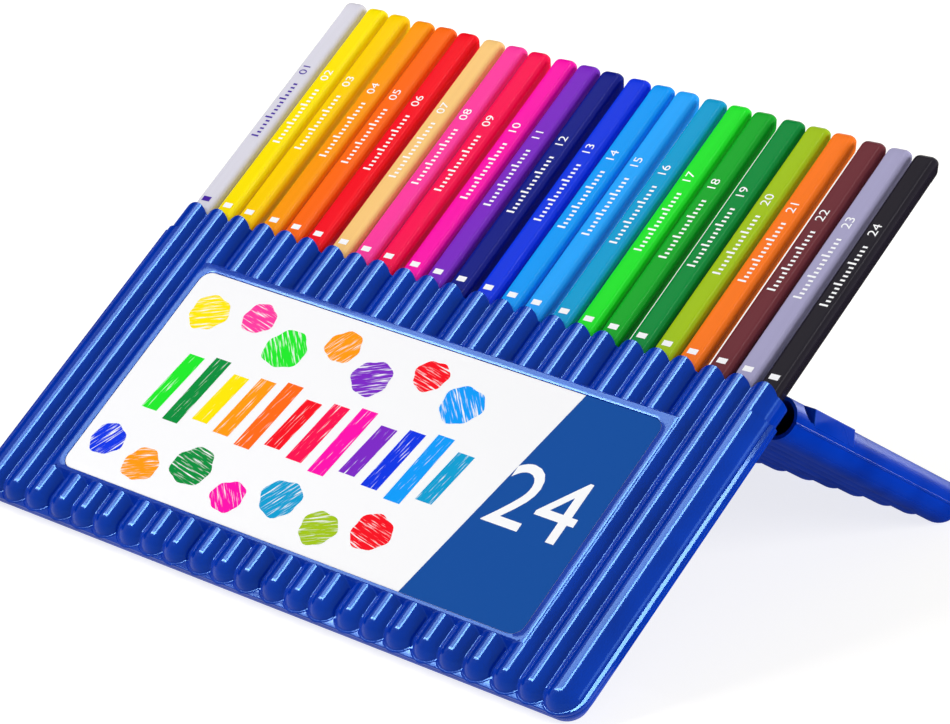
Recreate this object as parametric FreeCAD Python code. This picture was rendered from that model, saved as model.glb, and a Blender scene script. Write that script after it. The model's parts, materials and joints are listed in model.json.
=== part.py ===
import FreeCAD, Part
import math
import os

from FreeCAD import Vector, Placement, Rotation

# An easel case for triangular coloured pencils.  The case is first built flat: X runs across
# the row of pencils, Y along them from the tips to the blunt ends, and Z out of the front.
# The lid is built the same way, from its mouth at Y = 0, and then hung on its hinge.

# --- row of pencils
pencil_count = 24
group_size = 3
pitch = 8.05
group_gap = 1.12
pencil_width = 7.1
pencil_corner = 1.6
pencil_length = 172.0
pencil_end_dome = 1.6
core_radius = 1.5
core_tip_radius = 0.3
sharpened_length = 21.0
core_end_cover = 4.0
glue_gap = 0.02
tip_clearance = 0.3
core_sides = 6
corner_flats = 3
dome_shoulder = 0.5
dome_tip = 0.5
pencil_turn = 6.0

# --- case body
tube_overlap = 0.975
tube_crest = 1.8
front_wall = 0.8
valley_flat = 0.2
case_back = -8.65
back_wall = 1.0
neck_back = -7.75
neck_wall = 0.7
neck_corner = 3.7
parting = -2.9
side_reach = 0.7
foot = -2.7
flange_thickness = 1.2
flange_reach = 1.0
flange_foot = 0.15
neck_start = 87.5
mouth_height = 96.4
pencil_clearance = 0.1
tube_flats = 4
hinge_root = 0.3

# --- label
label_first_tube = 3
label_last_tube = 22
label_bottom = 9.8
label_top = 79.7
plate_proud = 0.12
plate_draft = 1.6
label_inset = 2.0
label_corner = 3.5
label_recess = 0.45
label_thickness = 0.3
label_gap = 0.1

# --- lid
lid_length = 90.5
lid_wall = 0.85
lid_clearance = 0.12
seam_width = 0.5
seam_proud = 0.25
grip_start = 8.5
grip_length = 20.0
grip_low = 1.2
grip_sink = 0.2
grip_edge = 3.9
notch_width = 4.0
notch_reach = 4.5

# --- hinge and stand
hinge_drop = 1.0
hinge_depth = -11.1
hinge_spread = 70.0
pin_radius = 0.9
pin_clearance = 0.05
knuckle_radius = 1.9
knuckle_width = 8.0
knuckle_gap = 0.2
lug_width = 3.0
hook_root = 7.0
snap_width = 1.5
lid_from_pin = 1.5
lid_above_pin = 1.85
stand_angle = 67.5

tube_radius = pitch / 2 + tube_overlap
tube_centre = tube_crest - tube_radius
hinge_height = neck_start - hinge_drop
side_centre = (tube_crest + case_back) / 2
side_radius = (tube_crest - case_back) / 2
row_span = (pencil_count - 1) * pitch + (pencil_count - 1) // group_size * group_gap
row_edge = row_span / 2
side_width = side_reach + side_radius
dome_start = foot + tube_radius
corner_start = foot + side_width

inner_radius = tube_radius - front_wall
valley_z = tube_centre + math.sqrt(tube_radius ** 2 - ((pitch - valley_flat) / 2) ** 2)
tube_floor = dome_start - math.sqrt(tube_radius ** 2 - inner_radius ** 2) + front_wall

lid_grow = lid_clearance + lid_wall
lid_crest = tube_crest + lid_grow
lid_radius = (lid_crest - case_back) / 2
lid_centre = (lid_crest + case_back) / 2
lid_tube = tube_radius + lid_grow
lid_side_reach = lid_tube - lid_radius


def tube_x(number):
    """Centre of one tube, counted from 1."""
    place = number - 1
    return place * pitch + place // group_size * group_gap - row_edge


tube_centres = [tube_x(number) for number in range(1, pencil_count + 1)]


def point(x, z, y=0.0):
    return Vector(x, y, z)


def arc(start, through, end):
    return Part.Arc(start, through, end).toShape()


def line(start, end):
    return Part.LineSegment(start, end).toShape()


def circle_z(x, centre_x, centre_z, radius):
    return centre_z + math.sqrt(radius ** 2 - (x - centre_x) ** 2)


def extruded(edges, start, length):
    """Solid of a closed outline in XZ, run along Y from start."""
    face = Part.Face(Part.Wire(edges))
    solid = face.extrude(Vector(0, length, 0))
    solid.translate(Vector(0, start, 0))
    return solid


def outline(points):
    return Part.makePolygon(points + [points[0]]).Edges


def corrugation(radius, base, start, length):
    """Row of round-topped tubes on one base, with narrow flats in the valleys."""
    half = min(pitch / 2 - valley_flat / 2, radius)
    floor = circle_z(half, 0.0, tube_centre, radius)
    end = math.sqrt(radius ** 2 - (base - tube_centre) ** 2)
    first = point(tube_centres[0] - end, base)
    edges = []
    previous = None
    for number, x in enumerate(tube_centres):
        left = point(x - half, floor)
        right = point(x + half, floor)
        if number == 0:
            left = first
        if number == pencil_count - 1:
            right = point(x + end, base)
        if previous is not None:
            edges.append(line(previous, left))
        edges.append(arc(left, point(x, tube_centre + radius), right))
        previous = right
    edges.append(line(previous, first))
    return extruded(edges, start, length)


def channels(radius, base, start, length):
    """Row of many-sided channels for the pencils, open to one base."""
    points = []
    for x in tube_centres:
        low = math.asin((base - tube_centre) / radius)
        if radius > pitch / 2:
            low = math.acos((pitch - valley_flat) / 2 / radius)
        step = (math.pi - 2 * low) / tube_flats
        turns = [math.pi - low - step * number for number in range(tube_flats + 1)]
        points += [point(x + radius * math.cos(turn), tube_centre + radius * math.sin(turn))
                   for turn in turns]
    left = point(points[0].x, base)
    right = point(points[-1].x, base)
    return extruded(outline([left] + points + [right]), start, length)


def below_mouth(low_z, high_z):
    """Everything below the mouth, which slants up from the valleys to the crests of the tubes.

    The slant of one in one makes the edge of each tube's front a round scallop.
    """
    shoulder = mouth_height - (tube_crest - valley_z)
    low = foot - side_width
    profile = outline([Vector(-row_edge - 2 * side_width, low, low_z),
                       Vector(-row_edge - 2 * side_width, shoulder, low_z),
                       Vector(-row_edge - 2 * side_width, shoulder, valley_z),
                       Vector(-row_edge - 2 * side_width, shoulder + high_z - valley_z, high_z),
                       Vector(-row_edge - 2 * side_width, low, high_z)])
    return Part.Face(Part.Wire(profile)).extrude(Vector(2 * row_edge + 4 * side_width, 0, 0))


def cylinder_x(radius, start, length, y, z):
    return Part.makeCylinder(radius, length, Vector(start, y, z), Vector(1, 0, 0))


def domes(radius, centre_y, base):
    """One round end per tube, below centre_y and above base: round in plan, front and side."""
    first = tube_centres[0]
    cross = cylinder_x(radius, first - radius, 2 * (row_edge + radius), centre_y, tube_centre)
    shapes = []
    for x in tube_centres:
        tube = Part.makeCylinder(radius, radius, Vector(x, centre_y - radius, tube_centre),
                                 Vector(0, 1, 0))
        plan = Part.makeCylinder(radius, radius + tube_centre - base,
                                 Vector(x, centre_y, base))
        shapes.append(tube.common(plan).common(cross))
    return shapes


def rim_points(reach, radius, centre, low, high):
    """Three points (outward, z) on the round of a side, from high down to low."""
    heights = (high, (high + low) / 2, low)
    return [(reach + math.sqrt(max(radius ** 2 - (z - centre) ** 2, 0.0)), z) for z in heights]


def rounded_block(reach, radius, centre, low, high, corner_y, top_y):
    """Block with rounded sides, a rounded end below and corners that are round in plan."""
    width = reach + radius
    low_y = corner_y - width
    length = top_y - low_y
    rim = rim_points(reach, radius, centre, low, high)
    right = [point(row_edge + out, z) for out, z in rim]
    left = [point(-item.x, item.z) for item in right]
    across = extruded([line(left[0], right[0]), arc(*right), line(right[2], left[2]), arc(*left)],
                      low_y, length)
    x = row_edge + width
    below = [Vector(-x, corner_y - out, z) for out, z in rim]
    above = [Vector(-x, top_y, z) for z in (low, high)]
    profile = Part.Wire([arc(*below), line(below[2], above[0]), line(above[0], above[1]),
                         line(above[1], below[0])])
    along = Part.Face(profile).extrude(Vector(2 * x, 0, 0))
    plan = rounded_plate(x, low_y, top_y, width, low, high - low)
    return plan.common(across).common(along)


def block_sides(block):
    """Only what a block has beyond the first and the last tube's middle."""
    middle = Part.makeBox(2 * row_edge, 2 * lid_length, lid_crest - case_back,
                          Vector(-row_edge, -lid_length / 2, case_back))
    return block.cut(middle)


def rounded_plate(x_half, low_y, high_y, corner, low_z, thickness, low_corners_only=True):
    """Flat plate with two or four rounded corners."""
    plate = Part.makeBox(2 * x_half, high_y - low_y, thickness, Vector(-x_half, low_y, low_z))
    chosen = []
    for edge in plate.Edges:
        ends = [vertex.Point for vertex in edge.Vertexes]
        if abs(ends[0].z - ends[1].z) < thickness / 2:
            continue
        if low_corners_only and ends[0].y > (low_y + high_y) / 2:
            continue
        chosen.append(edge)
    return plate.makeFillet(corner, chosen)


def joined(shapes):
    return shapes[0].multiFuse(shapes[1:]).removeSplitter()


def flange(low):
    """Half of the flat rim round the body, with its underside at low."""
    corner = side_width + flange_reach
    return rounded_plate(row_edge + corner, foot - flange_foot, neck_start, corner, low,
                         flange_thickness)


def label_plate():
    """Raised flat for the label, level with the tubes, with sloping walls."""
    top = tube_crest + plate_proud
    left = tube_x(label_first_tube)
    root = valley_z - front_wall / 2
    outline_points = [Vector(left, label_bottom - plate_draft, root),
                      Vector(left, label_bottom, top), Vector(left, label_top, top),
                      Vector(left, label_top + plate_draft, root)]
    face = Part.Face(Part.Wire(outline(outline_points)))
    return face.extrude(Vector(tube_x(label_last_tube) - left, 0, 0))


def front_shell():
    """Ribbed front with the label plate and the front half of the flange."""
    length = mouth_height - dome_start
    outer = [corrugation(tube_radius, parting, dome_start, length), flange(parting),
             label_plate()]
    outer += domes(tube_radius, dome_start, parting)
    outer += block_sides(rounded_block(side_reach, side_radius, side_centre, parting, tube_crest,
                                       corner_start, neck_start)).Solids
    inside = channels(inner_radius, parting, tube_floor, mouth_height + 1 - tube_floor)
    shell = joined(outer).common(below_mouth(parting - 1, tube_crest + 1))
    return shell.cut(inside).cut(label_block(label_recess, 0.0))


def label_block(depth, gap):
    """The label's outline, from the bottom of its recess up to depth above that."""
    half = (tube_x(label_last_tube) - tube_x(label_first_tube)) / 2 - label_inset - gap
    middle = (tube_x(label_last_tube) + tube_x(label_first_tube)) / 2
    floor = tube_crest + plate_proud - label_recess
    block = rounded_plate(half, label_bottom + label_inset + gap, label_top - label_inset - gap,
                          label_corner - gap, floor, depth, False)
    block.translate(Vector(middle, 0, 0))
    return block


def neck_outline(grow, start, length):
    """Back of the neck, from the parting plane to its flat back."""
    side = row_edge + math.sqrt(tube_radius ** 2 - (parting - tube_centre) ** 2) + grow
    back = neck_back - grow
    turn = neck_corner + grow
    lean = turn * (1 - math.sqrt(0.5))
    right = [point(side, parting), point(side, back + turn),
             point(side - lean, back + lean), point(side - turn, back)]
    left = [point(-item.x, item.z) for item in right]
    edges = [line(right[0], right[1]), arc(*right[1:]),
             line(right[3], left[3]),
             arc(left[3], left[2], left[1]),
             line(left[1], left[0]),
             line(left[0], right[0])]
    return extruded(edges, start, length)


def hinge_places():
    return (-hinge_spread, hinge_spread)


def lug(start):
    """One hinge lug on the back of the case."""
    ring = cylinder_x(knuckle_radius, start, lug_width, hinge_height, hinge_depth)
    root = case_back + hinge_root
    web = outline([Vector(start, hinge_height + knuckle_radius / 2, root),
                   Vector(start, hinge_height + knuckle_radius, hinge_depth),
                   Vector(start, hinge_height - knuckle_radius, hinge_depth),
                   Vector(start, hinge_height - 2 * knuckle_radius, root)])
    return joined([ring, Part.Face(Part.Wire(web)).extrude(Vector(lug_width, 0, 0))])


def back_shell():
    """Smooth back with the neck, the back half of the flange and the hinge lugs."""
    neck_top = mouth_height - (tube_crest - valley_z)
    outer = [rounded_block(side_reach, side_radius, side_centre, case_back, parting,
                           corner_start, neck_start),
             flange(parting - flange_thickness),
             neck_outline(0.0, neck_start, neck_top - neck_start)]
    for place in hinge_places():
        outer.append(lug(place - knuckle_width / 2 - lug_width))
        outer.append(lug(place + knuckle_width / 2))
    floor = case_back + back_wall
    hollow_radius = parting - floor
    hollow_reach = side_width - back_wall - hollow_radius
    hollow_top = neck_start - back_wall
    hollow = [rounded_block(hollow_reach, hollow_radius, parting, floor, parting,
                            corner_start, hollow_top),
              neck_outline(-neck_wall, hollow_top, neck_top - hollow_top + 1)]
    shell = joined(outer).cut(joined(hollow))
    for place in hinge_places():
        length = knuckle_width + 2 * lug_width
        shell = shell.cut(cylinder_x(pin_radius, place - length, 2 * length,
                                     hinge_height, hinge_depth))
    return shell


def hinge_pin(place):
    length = knuckle_width + 2 * lug_width
    return cylinder_x(pin_radius, place - length / 2, length, hinge_height, hinge_depth)


# The lid is first built end down, with its end at Y = 0 and its mouth at Y = lid_length.
# Turned end for end, its mouth lies at Y = 0, which is the frame that its hooks are built in.

def turned_over(shape):
    turned = shape.copy()
    turned.rotate(Vector(0, 0, 0), Vector(0, 0, 1), 180)
    turned.translate(Vector(0, lid_length, 0))
    return turned


def seam(low):
    """Thin bead round the lid's parting edge, with its underside at low."""
    half = row_edge + lid_tube
    outside = rounded_plate(half + seam_proud, -seam_proud, lid_length,
                            lid_tube + seam_proud, low, seam_width)
    inset = lid_wall / 2
    inside = rounded_plate(half - inset, inset, lid_length + 1, lid_tube - inset,
                           low - seam_width, 3 * seam_width)
    return outside.cut(inside)


def lid_hook(place):
    """Open hook on the ribbed side of the lid's mouth, which clips over a pin."""
    y = -lid_from_pin
    z = lid_crest + lid_above_pin
    start = place - knuckle_width / 2 + knuckle_gap
    width = knuckle_width - 2 * knuckle_gap
    ring = cylinder_x(knuckle_radius, start, width, y, z)
    root = lid_crest - lid_wall / 2
    slant = knuckle_radius * math.sqrt(0.5)
    web = outline([Vector(start, y - slant, z - slant), Vector(start, 0.0, root),
                   Vector(start, hook_root, root), Vector(start, y + slant, z + slant)])
    return joined([ring, Part.Face(Part.Wire(web)).extrude(Vector(width, 0, 0))])


def hook_opening(place):
    """Bore of a hook and its snap opening, which is narrower than the pin."""
    y = -lid_from_pin
    z = lid_crest + lid_above_pin
    start = place - knuckle_width / 2
    bore = cylinder_x(pin_radius + pin_clearance, start, knuckle_width, y, z)
    slot = Part.makeBox(knuckle_width, snap_width, 2 * knuckle_radius,
                        Vector(start, y - snap_width / 2, z))
    return joined([bore, slot])


def lid_front_shell():
    """Ribbed half of the lid, with its hooks."""
    length = lid_length - lid_tube
    outer = [corrugation(lid_tube, parting, lid_tube, length), seam(parting)]
    outer += domes(lid_tube, lid_tube, parting)
    outer += block_sides(rounded_block(lid_side_reach, lid_radius, lid_centre, parting, lid_crest,
                                       lid_tube, lid_length)).Solids
    inner_tube = lid_tube - lid_wall
    floor = lid_tube - math.sqrt(lid_tube ** 2 - inner_tube ** 2) + lid_wall
    inside = channels(inner_tube, parting, floor, lid_length + 1 - floor)
    shell = turned_over(joined(outer).cut(inside))
    shell = joined([shell] + [lid_hook(place) for place in hinge_places()])
    for place in hinge_places():
        shell = shell.cut(hook_opening(place))
    return shell


def grip(side, solid_inside):
    """Flat facet on a rounded end of the lid's back, near the mouth."""
    far = side * (row_edge + lid_tube - grip_sink)
    edge = side * (row_edge + grip_edge)
    near = side * row_edge
    low = parting - grip_low
    face = Part.Face(Part.Wire(outline([point(near, low), point(far, low),
                                        point(edge, case_back), point(near, case_back)])))
    block = face.extrude(Vector(0, grip_length, 0))
    block.translate(Vector(0, grip_start, 0))
    return block.cut(solid_inside)


def grip_notch(side):
    """Through-notch in front of a grip, on the mouth's side."""
    outer_x = side * (row_edge + lid_tube + 1)
    low = parting - grip_low
    top = case_back - 1
    bulge = Vector(outer_x, grip_start - notch_width, (low + case_back) / 2)
    wire = Part.Wire([arc(Vector(outer_x, grip_start, low), bulge,
                          Vector(outer_x, grip_start, top)),
                      line(Vector(outer_x, grip_start, top), Vector(outer_x, grip_start, low))])
    return Part.Face(wire).extrude(Vector(-side * (notch_reach + 1), 0, 0))


def lid_back_shell():
    """Smooth half of the lid, with a grip and a notch near each end of its mouth."""
    outer = [rounded_block(lid_side_reach, lid_radius, lid_centre, case_back, parting,
                           lid_tube, lid_length),
             seam(parting - seam_width)]
    hollow = rounded_block(lid_side_reach, lid_radius - lid_wall, lid_centre,
                           case_back + lid_wall, parting, lid_tube, lid_length + 1)
    shell = turned_over(joined(outer).cut(hollow))
    inside = turned_over(hollow)
    shell = joined([shell] + [grip(side, inside) for side in (-1, 1)])
    for side in (-1, 1):
        shell = shell.cut(grip_notch(side))
    return shell


def pencil_section():
    """Rounded triangle with one flat to the front, centred on its middle."""
    side = pencil_width - 2 * pencil_corner
    height = side * math.sqrt(0.75)
    centres = [(side / 2, height / 3), (-side / 2, height / 3), (0.0, -2 * height / 3)]
    points = []
    for number, (x, z) in enumerate(centres):
        first = math.radians(120 * number - 30)
        for flat in range(corner_flats + 1):
            turn = first + math.radians(120) * flat / corner_flats
            points.append(point(x + pencil_corner * math.cos(turn),
                                z + pencil_corner * math.sin(turn)))
    return outline(points)


pencil_side = pencil_width - 2 * pencil_corner
pencil_reach = pencil_side / math.sqrt(3) + pencil_corner
cone_slope = (pencil_reach - core_tip_radius) / sharpened_length
core_bare = (core_radius - core_tip_radius) / cone_slope
pencil_z = neck_back + neck_wall + pencil_clearance + pencil_reach


def many_sided(stations):
    """Solid on the pencil's axis through (radius, y) stations, with core_sides flats."""
    rings = []
    for radius, y in stations:
        turns = [2 * math.pi * number / core_sides for number in range(core_sides)]
        rings.append([Vector(radius * math.cos(turn), y, radius * math.sin(turn))
                      for turn in turns])
    loops = [rings[0], rings[-1]]
    for low, high in zip(rings, rings[1:]):
        for number in range(core_sides):
            after = (number + 1) % core_sides
            loops.append([low[number], low[after], high[after], high[number]])
    faces = [Part.Face(Part.Wire(outline(loop))) for loop in loops]
    solid = Part.Solid(Part.Shell(faces))
    if solid.Volume < 0:
        solid.reverse()
    return solid


def pencil_core():
    return many_sided([(core_tip_radius, 0), (core_radius, core_bare),
                       (core_radius, pencil_length - core_end_cover)])


def pencil_casing():
    """Lacquered wood: a rounded triangle, sharpened at one end and domed at the other."""
    reach = pencil_reach * 1.2
    cone_end = (reach - core_tip_radius) / cone_slope
    stations = [(core_radius, core_bare), (reach, cone_end),
                (reach, pencil_length - dome_shoulder * pencil_end_dome),
                (dome_tip * reach, pencil_length)]
    blank = extruded(pencil_section(), 0, pencil_length)
    bore = many_sided([(core_radius + glue_gap, 0),
                       (core_radius + glue_gap, pencil_length - core_end_cover)])
    return blank.common(many_sided(stations)).cut(bore)


def lid_place():
    """Placement from the lid's flat frame to the case's: turned over and hung on its pins."""
    spot = math.radians(stand_angle)
    along = Vector(0, math.cos(spot), -math.sin(spot))
    ribs = Vector(0, -math.sin(spot), -math.cos(spot))
    turn = Rotation(Vector(-1, 0, 0), along, ribs, "ZYX")
    pin_in_lid = Vector(0, -lid_from_pin, lid_crest + lid_above_pin)
    shift = Vector(0, hinge_height, hinge_depth) - turn.multVec(pin_in_lid)
    return Placement(shift, turn)


def standing_place(hung):
    """Placement that stands the open case on the round of its foot and the lid's end."""
    heel = Vector(0, corner_start - side_reach, side_centre)
    toe = hung.multVec(Vector(0, lid_length - lid_tube, tube_centre))
    gap = toe - heel
    distance = math.hypot(gap.y, gap.z)
    lean = math.asin((lid_tube - side_radius) / distance) - math.atan2(gap.z, gap.y)
    turn = Rotation(Vector(1, 0, 0), math.degrees(lean))
    drop = side_radius - turn.multVec(heel).z
    return Placement(Vector(0, 0, drop), turn), math.degrees(lean)


def build():
    hung = lid_place()
    stand, lean = standing_place(hung)
    nodes = {"body_front_shell": front_shell(), "body_back_shell": back_shell(),
             "label_card": label_block(label_thickness, label_gap)}
    for name, place in zip(("hinge_pin_left", "hinge_pin_right"), hinge_places()):
        nodes[name] = hinge_pin(place)
    lid_parts = {"lid_front_shell": lid_front_shell(), "lid_back_shell": lid_back_shell()}
    for name, shape in lid_parts.items():
        shape.Placement = hung.multiply(shape.Placement)
        nodes[name] = shape
    casing = pencil_casing()
    core = pencil_core()
    for number, x in enumerate(tube_centres, 1):
        for kind, shape in (("casing", casing), ("core", core)):
            copy = shape.copy()
            copy.rotate(Vector(0, 0, 0), Vector(0, 1, 0), -pencil_turn)
            copy.translate(Vector(x, tube_floor + tip_clearance, pencil_z))
            nodes["pencil_%02d_%s" % (number, kind)] = copy
    for shape in nodes.values():
        shape.Placement = stand.multiply(shape.Placement)
    box = Part.makeCompound(list(nodes.values())).optimalBoundingBox(False)
    shift = Vector(-box.Center.x, -box.Center.y, 0)
    for shape in nodes.values():
        shape.translate(shift)
    return nodes, stand, lean, shift


def main():
    os.makedirs("parts", exist_ok=True)
    nodes, stand, lean, shift = build()
    for name, shape in nodes.items():
        shape.exportStep("parts/%s.step" % name)
    pin = stand.multVec(Vector(0, hinge_height, hinge_depth)) + shift
    along = stand.Rotation.multVec(Vector(0, 1, 0))
    print("lean", round(lean, 3), "hinge", tuple(round(v, 3) for v in pin))
    print("pencil way", tuple(round(v, 5) for v in along))


main()
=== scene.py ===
import bisect
import json
import math
import bpy
from mathutils import Matrix, Vector

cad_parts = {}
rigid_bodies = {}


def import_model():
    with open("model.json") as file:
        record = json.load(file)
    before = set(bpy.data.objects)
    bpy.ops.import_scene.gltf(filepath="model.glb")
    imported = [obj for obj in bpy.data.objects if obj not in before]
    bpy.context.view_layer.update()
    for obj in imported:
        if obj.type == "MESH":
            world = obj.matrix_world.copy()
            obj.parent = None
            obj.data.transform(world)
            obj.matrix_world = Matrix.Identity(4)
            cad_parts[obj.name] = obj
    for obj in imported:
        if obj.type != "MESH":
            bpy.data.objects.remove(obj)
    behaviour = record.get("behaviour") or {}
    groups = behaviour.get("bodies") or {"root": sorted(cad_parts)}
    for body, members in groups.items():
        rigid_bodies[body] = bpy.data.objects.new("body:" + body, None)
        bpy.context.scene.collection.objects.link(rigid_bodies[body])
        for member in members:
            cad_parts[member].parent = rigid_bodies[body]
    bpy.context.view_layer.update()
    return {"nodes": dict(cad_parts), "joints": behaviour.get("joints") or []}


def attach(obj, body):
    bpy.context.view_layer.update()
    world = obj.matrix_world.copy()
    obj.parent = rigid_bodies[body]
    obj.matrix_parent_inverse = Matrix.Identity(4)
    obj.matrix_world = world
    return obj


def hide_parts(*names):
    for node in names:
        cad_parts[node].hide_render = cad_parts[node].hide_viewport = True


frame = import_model()
print("frame loaded")

# The case is drawn flat, in millimetres: x across the row of pencils, y along them, z out of the front.
row = {"count": 24, "pitch": 8.05, "groupSize": 3, "groupGap": 1.12}
body = {"radius": 5.0, "crest": 1.8, "back": -8.65, "parting": -2.9, "foot": -2.7, "sideReach": 0.7,
        "neckStart": 87.5, "mouth": 96.4, "wall": 0.8, "neckBack": -7.75, "neckWall": 0.7,
        "neckCorner": 3.7, "neckLap": 1.0, "neckLip": 0.3, "valleyLand": 0.22, "valleyRound": 0.12,
        "footRound": 0.4, "footLedge": 0.45}
rim = {"reach": 1.0, "foot": 0.15, "thickness": 1.2, "edge": 0.22}
plate = {"lastTube": 22, "low": 9.8, "high": 79.7, "proud": 0.12, "draft": 1.6, "frame": 2.0,
         "lowFrame": 0.8, "corner": 3.5, "recess": 0.45, "card": 0.3, "gap": 0.1, "under": 0.12,
         "margin": 0.7, "sideSlope": 20, "endDrop": 2.4, "blend": 0.12, "frameLift": 0.01}
lid = {"length": 90.5, "wall": 0.85, "grow": 0.97, "seamWidth": 0.35, "seamProud": 0.22, "seamRound": 0.13,
       "seamRoot": 0.4, "gripStart": 8.5, "gripLength": 20.0, "gripLow": 1.2, "gripSink": 0.02,
       "gripEdge": 4.5, "gripRoot": 1.0, "gripShelf": 2.5, "gripRound": 0.25, "notchWidth": 3.7,
       "notchLow": 2.2, "notchOver": 0.4, "notchFrom": 1.2, "meshLines": (20.0, 45.0, 70.0)}
knuckle = {"radius": 1.9, "width": 8.0, "gap": 0.2, "lugWidth": 3.0, "lugEdge": 0.2, "sink": 0.2,
           "spread": 70.0, "bore": 0.95, "slot": 1.5, "hookRoot": 7.0, "hookEdge": 0.08, "webInset": 0.3,
           "webEdge": 0.15}
hinge = {"height": 86.5, "depth": -11.1, "fromPin": 1.5, "abovePin": 1.85, "standAngle": 67.5}


# distance from the first tube to the one that lies this many places on
def rowRun(places):
    return places * row["pitch"] + places // row["groupSize"] * row["groupGap"]


rowEdge = rowRun(row["count"] - 1) / 2


def tubeX(number):
    return rowRun(number - 1) - rowEdge


tubes = [tubeX(number) for number in range(1, row["count"] + 1)]
sideRadius = (body["crest"] - body["back"]) / 2
sideCentre = (body["crest"] + body["back"]) / 2
tubeCentre = body["crest"] - body["radius"]
domeY = body["foot"] + body["radius"]
cornerY = body["foot"] + body["sideReach"] + sideRadius
neckTop = body["mouth"] - (body["radius"] - math.sqrt(body["radius"] ** 2 - (row["pitch"] / 2 - 0.1) ** 2))
lidCrest = body["crest"] + lid["grow"]
lidRadius = (lidCrest - body["back"]) / 2
lidCentre = (lidCrest + body["back"]) / 2
lidTube = body["radius"] + lid["grow"]
lidSideReach = lidTube - lidRadius
lidEndY = lid["length"] - lidTube

joints = {joint["name"]: joint for joint in frame["joints"]}
along = Vector(joints["pencil_01_slide"]["axis"]).normalized()
outward = Vector((0, -along.z, along.y))
pin = Vector(joints["lid_swing"]["pos_m"])


# flat case, in millimetres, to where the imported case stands
def caseMatrix():
    turn = Matrix((Vector((1, 0, 0)), along, outward)).transposed()
    start = pin - (along * hinge["height"] + outward * hinge["depth"]) * 0.001
    return Matrix.Translation(start) @ (turn * 0.001).to_4x4()


# lid with its mouth at y = 0, in millimetres, to where it stands on its hinge
def lidMatrix():
    lean = math.radians(hinge["standAngle"])
    turn = Matrix(((-1, 0, 0), (0, math.cos(lean), -math.sin(lean)), (0, -math.sin(lean), -math.cos(lean))))
    turn = turn.transposed()
    pinInLid = Vector((0, -hinge["fromPin"], lidCrest + hinge["abovePin"]))
    shift = Vector((0, hinge["height"], hinge["depth"])) - turn @ pinInLid
    return caseToRow @ Matrix.Translation(shift) @ turn.to_4x4()


caseToRow = caseMatrix()
lidToRow = lidMatrix()


# colour from the sRGB hex value that a paint chart gives
def hexColour(code):
    parts = [int(code[at:at + 2], 16) / 255 for at in (1, 3, 5)]
    return [part / 12.92 if part <= 0.04045 else ((part + 0.055) / 1.055) ** 2.4 for part in parts] + [1.0]


# gives a node's inputs a link or a value each, where a text is a colour's hex value
def fillInputs(node, values):
    for name, value in values.items():
        if isinstance(value, bpy.types.NodeSocket):
            node.id_data.links.new(value, node.inputs[name])
        else:
            node.inputs[name].default_value = hexColour(value) if isinstance(value, str) else value


def addNode(tree, kind, links=None, **settings):
    node = tree.nodes.new(kind)
    for name, value in settings.items():
        setattr(node, name, value)
    fillInputs(node, links or {})
    return node


def newMaterial(name):
    material = bpy.data.materials.new(name)
    material.use_nodes = True
    tree = material.node_tree
    return material, tree, tree.nodes["Principled BSDF"]


# how glossy a shader is; most materials keep the index and level of a plain one
def finishShader(shader, finish):
    fillInputs(shader, {"Roughness": finish["roughness"], "IOR": finish.get("ior", 1.5),
                        "Specular IOR Level": finish.get("level", 0.5)})


# fine unevenness of a surface, as a bump: grains of a size in millimetres
def fineGrain(tree, size, strength, depth, detail=1.0):
    grains = addNode(tree, "ShaderNodeTexNoise",
                     {"Vector": addNode(tree, "ShaderNodeTexCoord").outputs["Object"],
                      "Scale": 1000 / size, "Detail": detail})
    bump = addNode(tree, "ShaderNodeBump",
                   {"Height": grains.outputs["Fac"], "Strength": strength, "Distance": depth})
    return bump.outputs["Normal"]


# two colours, each with its place on the ramp, in a pattern of a size in millimetres: (pattern, colour)
def patternTone(tree, point, size, detail, *stops):
    pattern = addNode(tree, "ShaderNodeTexNoise",
                      {"Vector": point, "Scale": 1000 / size, "Detail": detail}).outputs["Fac"]
    tone = addNode(tree, "ShaderNodeValToRGB", {"Fac": pattern})
    for element, (position, colour) in zip(tone.color_ramp.elements, stops):
        element.position = position
        element.color = colour
    return pattern, tone.outputs["Color"]


# point for a pattern drawn out along the pencils, or at an angle to them in the plane of the case
def drawnOutPoint(tree, stretch, degrees=None):
    turned = addNode(tree, "ShaderNodeVectorRotate",
                     {"Vector": addNode(tree, "ShaderNodeTexCoord").outputs["Object"],
                      "Angle": -math.atan2(along.z, along.y)}, rotation_type="X_AXIS")
    if degrees is not None:
        turned = addNode(tree, "ShaderNodeVectorRotate",
                         {"Vector": turned.outputs["Vector"], "Angle": math.radians(degrees)},
                         rotation_type="Z_AXIS")
    mapping = addNode(tree, "ShaderNodeMapping",
                      {"Vector": turned.outputs["Vector"], "Scale": (1, stretch, 1)})
    return mapping.outputs["Vector"]


# Injection-moulded polystyrene: a hard gloss that softens at a glance, and faint marks of its flow
plastic = {"blue": "#0030A2", "deep": "#002890", "sheen": "#7CBEFF", "roughness": 0.11,
           "glancing": 0.6, "ior": 1.59, "level": 0.3, "flowMarks": 14.0, "grain": 0.25}


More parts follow.
